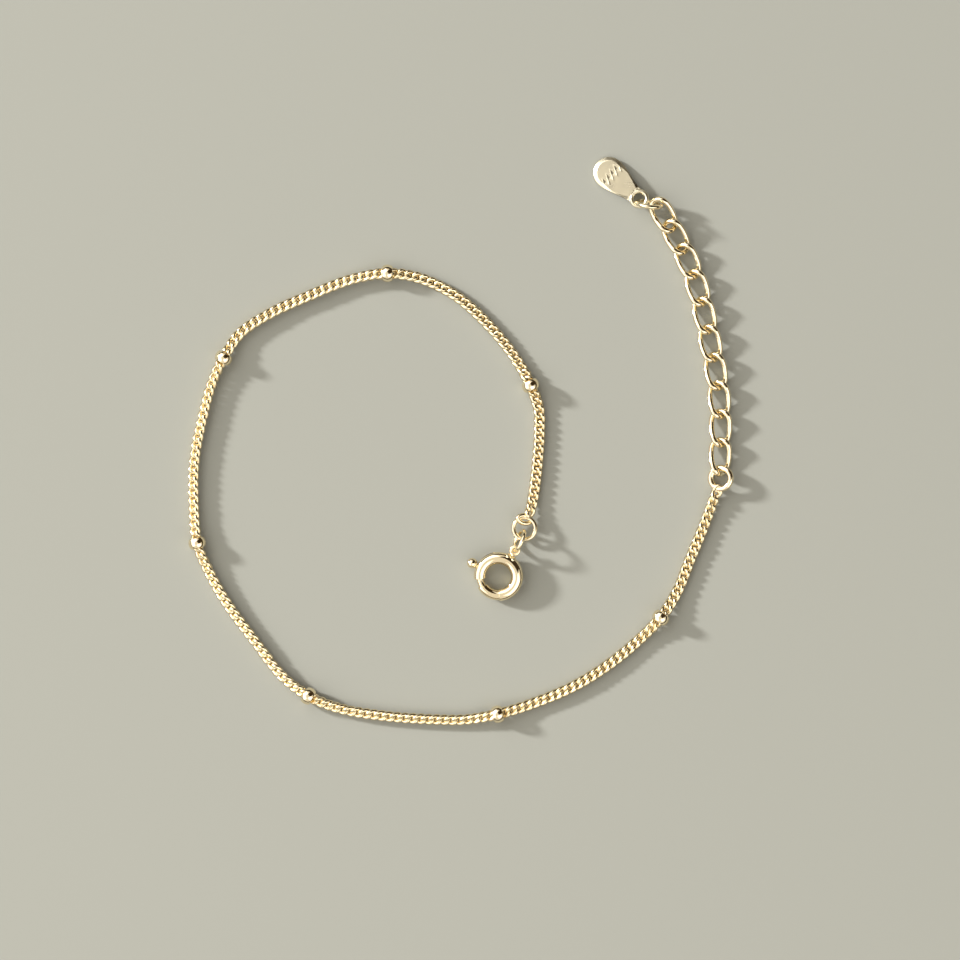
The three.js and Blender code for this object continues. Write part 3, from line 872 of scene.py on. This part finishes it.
turn = around(64)
loop = np.stack([EYELET_AT + EYELET_RADIUS * np.cos(turn), EYELET_RADIUS * np.sin(turn), 0 * turn], axis=1)
eyelet_grid = wire_along(loop, np.array([0.0, 0.0, 1.0]), EYELET_WIRE, 20)
combine(housing, new_object("eyelet", *closed_grid(in_clasp(eyelet_grid))), "UNION")
neck_at = (CLASP_RADIUS + TUBE_RADIUS + EYELET_AT - EYELET_RADIUS) / 2
for middle, half_sizes, turn_deg in (
    (neck_at, EYELET_NECK_SIZE, 0),
    (SOLDER_AT, SOLDER_SIZE, SOLDER_DEG),
    (SOLDER_AT, SOLDER_SIZE, -SOLDER_DEG),
):
    grid = blob(middle, half_sizes, turn_deg)
    combine(housing, new_object("solder", *closed_grid(grid, wrap_rows=False), weld=True), "UNION")

# %% Cut the slot for the knob's stem
KNOB_DEG = 95.4
TRAVEL_DEG = 48
SLOT_HALF_HEIGHT = 0.26
SLOT_PLAY_DEG = 7
SLOT_CUTS = (0.05, 0.3, 2 * TUBE_RADIUS)  # the cutter's rows, outwards from the tube's middle

middle_deg = KNOB_DEG - TRAVEL_DEG / 2
half_run = TRAVEL_DEG / 2 + SLOT_PLAY_DEG
end_run = math.degrees(SLOT_HALF_HEIGHT / (CLASP_RADIUS + TUBE_RADIUS))
turn = np.linspace(-np.pi / 2, np.pi / 2, 13)
one_end = np.column_stack([half_run - end_run + end_run * np.cos(turn), SLOT_HALF_HEIGHT * np.sin(turn)])
slot_line = np.concatenate([one_end, one_end * -1])
slot_angle = np.radians(middle_deg + slot_line[:, 0])
slot_rows = [
    np.stack([out * np.cos(slot_angle), out * np.sin(slot_angle), slot_line[:, 1]], axis=1)
    for out in (CLASP_RADIUS + cut for cut in SLOT_CUTS)
]
inner_end, outer_end = (np.broadcast_to(row.mean(axis=0), row.shape) for row in (slot_rows[0], slot_rows[-1]))
slot_grid = np.stack([inner_end, *slot_rows, outer_end])
cutter = new_object("slot", *closed_grid(in_clasp(slot_grid), wrap_rows=False), weld=True)
combine(housing, cutter, "DIFFERENCE")
keep_rims_sharp(housing)
fit(housing, polished_gold, ["clasp_housing"])

# %% [markdown]
# ## The bolt
#
# The bolt is a curved pin with rounded ends. A short stem rises from it through the slot and carries the ball
# that the nail catches. It rides on its own body, so it slides round inside the housing when the clasp opens.

# %% Make the bolt
BOLT_RADIUS = 0.4
BOLT_ENDS_DEG = (80, 177)
TIP_LENGTH = 0.25
PLAIN_FROM_DEG = 8  # from each end, where the pin has its full thickness
STEM_RADIUS = 0.19
STEM_FILLET = 0.05  # between the stem and the ball
KNOB_AT = 3.24
KNOB_RADIUS = 0.58

turn = np.linspace(0, np.pi / 2, 7)
from_end = math.degrees(TIP_LENGTH / CLASP_RADIUS) * (1 - np.sin(turn))
first_tip = np.column_stack([BOLT_ENDS_DEG[0] + from_end, BOLT_RADIUS * np.cos(turn)])[::-1]
last_tip = np.column_stack([BOLT_ENDS_DEG[1] - from_end, BOLT_RADIUS * np.cos(turn)])
plain = stretch(BOLT_ENDS_DEG[0] + PLAIN_FROM_DEG, BOLT_ENDS_DEG[1] - PLAIN_FROM_DEG, BOLT_RADIUS)
pin_grid = clasp_tube(np.concatenate([first_tip, plain, last_tip]), columns=32)
bolt = new_object("clasp_bolt_pin", *closed_grid(in_clasp(pin_grid), wrap_rows=False), weld=True)

ball_start = math.asin((STEM_RADIUS + STEM_FILLET) / KNOB_RADIUS)
ball = np.linspace(np.pi - ball_start, 0, 25)
stem_out = np.concatenate([[CLASP_RADIUS, CLASP_RADIUS], KNOB_AT + KNOB_RADIUS * np.cos(ball)])
stem_round = np.concatenate([[0, STEM_RADIUS], KNOB_RADIUS * np.sin(ball)])
knob_way = np.array([math.cos(math.radians(KNOB_DEG)), math.sin(math.radians(KNOB_DEG)), 0.0])
turn = around(40)[None, :, None]
ways = np.cos(turn) * np.cross([0, 0, 1], knob_way) + np.sin(turn) * np.array([0.0, 0.0, 1.0])
knob_grid = stem_out[:, None, None] * knob_way + stem_round[:, None, None] * ways
knob = new_object("knob", *closed_grid(in_clasp(knob_grid), wrap_rows=False), weld=True)
combine(bolt, knob, "UNION")
keep_rims_sharp(bolt)
fit(bolt, polished_gold, ["clasp_bolt"], body="bolt")

# %% [markdown]
# ## Table and light
#
# Polished metal shows the room more than itself, so the light is designed as what the gold should mirror: a
# low lamp on the left that throws long soft shadows, a bright even room, and three big white panels that
# become the white bars on every rounded wire. A dark card and a dark wall, higher on one side, put small dark
# accents beside those bars. The table is plain and pale.

# %% Lay the table
FLOOR_SIZE = 3000
FLOOR_COLOUR = "#96968D"

floor_material, floor_shader = new_material("matt_table")
floor_shader.inputs["Base Color"].default_value = linear(FLOOR_COLOUR)
floor_shader.inputs["Roughness"].default_value = 0.9
floor_shader.inputs["Specular IOR Level"].default_value = 0.1
half = FLOOR_SIZE / 2
floor_corners = np.array([(-half, -half, 0), (half, -half, 0), (half, half, 0), (-half, half, 0)], float)
floor = new_object("table", floor_corners, np.array([[0, 1, 2, 3]]))
floor.data.materials.append(floor_material)


# %% Add the lights
def towards(compass_deg, zenith_deg):
    """The direction at this angle round the table from +X and this angle down from straight up."""
    compass, zenith = math.radians(compass_deg), math.radians(zenith_deg)
    flat = math.sin(zenith)
    return np.array([flat * math.cos(compass), flat * math.sin(compass), math.cos(zenith)])


def face_table(thing, compass_deg, zenith_deg, distance):
    """Puts a lamp or card in that direction and turns it to face the bracelet."""
    way = towards(compass_deg, zenith_deg)
    thing.location = way * distance * MM
    thing.rotation_euler = Vector(way).to_track_quat("Z", "Y").to_euler()


def add_panel(name, compass_deg, zenith_deg, distance, width, height, radiance, tint="#FFFFFF"):
    """A rectangular lamp of a given brightness: its power is brightness times area times pi."""
    lamp = bpy.data.lights.new(name, "AREA")
    lamp.shape = "RECTANGLE"
    lamp.size, lamp.size_y = width * MM, height * MM
    lamp.energy = radiance * lamp.size * lamp.size_y * math.pi
    lamp.color = linear(tint)[:3]
    panel = bpy.data.objects.new(name, lamp)
    panel.visible_camera = False
    face_table(panel, compass_deg, zenith_deg, distance)
    scene.collection.objects.link(panel)
    return panel


# Name, direction (compass and zenith angle), distance, width, height, brightness and tint.
add_panel("low_lamp", 156.5, 70, 3600, 314, 314, 770, "#FDFDFF")
add_panel("north_panel", 127, 50, 900, 640, 820, 1.25)
add_panel("south_panel", -48, 38, 900, 760, 700, 1.2)
add_panel("west_panel", 190, 55, 950, 1300, 900, 1.12)

ROOM_COLOUR = "#FFF8EC"
ROOM_STRENGTH = 0.85
world = bpy.data.worlds.new("bright_room")
world.use_nodes = True
background = world.node_tree.nodes["Background"]
background.inputs["Color"].default_value = linear(ROOM_COLOUR)
background.inputs["Strength"].default_value = ROOM_STRENGTH
scene.world = world
print("lamps:", [lamp.name for lamp in bpy.data.lights])

# %% Hang the dark card and the wall
CARD_SIZE = (430, 460)
CARD_DIRECTION = (38, 35)  # compass and zenith angle
CARD_DISTANCE = 450
CARD_COLOUR = "#38280F"
WALL_RADIUS = 1400
WALL_HEIGHTS = (320, 800)  # lowest opposite to the direction where it is highest
WALL_HIGHEST_DEG = 52
WALL_STEPS = 96
WALL_COLOUR = "#2E2412"


def only_mirrored(thing, name, colour):
    """Stage furniture that is seen in the gold alone: hidden from the camera, and it throws no shadow."""
    material, shader = new_material(name)
    shader.inputs["Base Color"].default_value = linear(colour)
    shader.inputs["Roughness"].default_value = 1.0
    thing.data.materials.append(material)
    thing.visible_camera = False
    thing.visible_shadow = False


card_corners = np.array([(-1, -1, 0), (1, -1, 0), (1, 1, 0), (-1, 1, 0)]) * [*CARD_SIZE, 0] / 2
card = new_object("dark_card", card_corners, np.array([[0, 1, 2, 3]]))
face_table(card, *CARD_DIRECTION, CARD_DISTANCE)
only_mirrored(card, "brown_card", CARD_COLOUR)

compass = around(WALL_STEPS)
lowest, highest = WALL_HEIGHTS
top = lowest + (highest - lowest) * ((1 + np.cos(compass - math.radians(WALL_HIGHEST_DEG))) / 2) ** 2
circle = WALL_RADIUS * np.stack([np.cos(compass), np.sin(compass)], axis=1)
wall_rows = [np.column_stack([circle, height]) for height in (0 * top, top)]
wall = new_object("far_wall", np.concatenate(wall_rows), grid_faces(2, WALL_STEPS, wrap_rows=False))
only_mirrored(wall, "brown_wall", WALL_COLOUR)
print("wall height in mm:", lowest, "to", highest)

# %% [markdown]
# ## Finish
#
# The plain Standard view transform keeps white highlights white and the gold's own colour.

# %% Set the view
scene.view_settings.view_transform = "Standard"
scene.view_settings.look = "None"
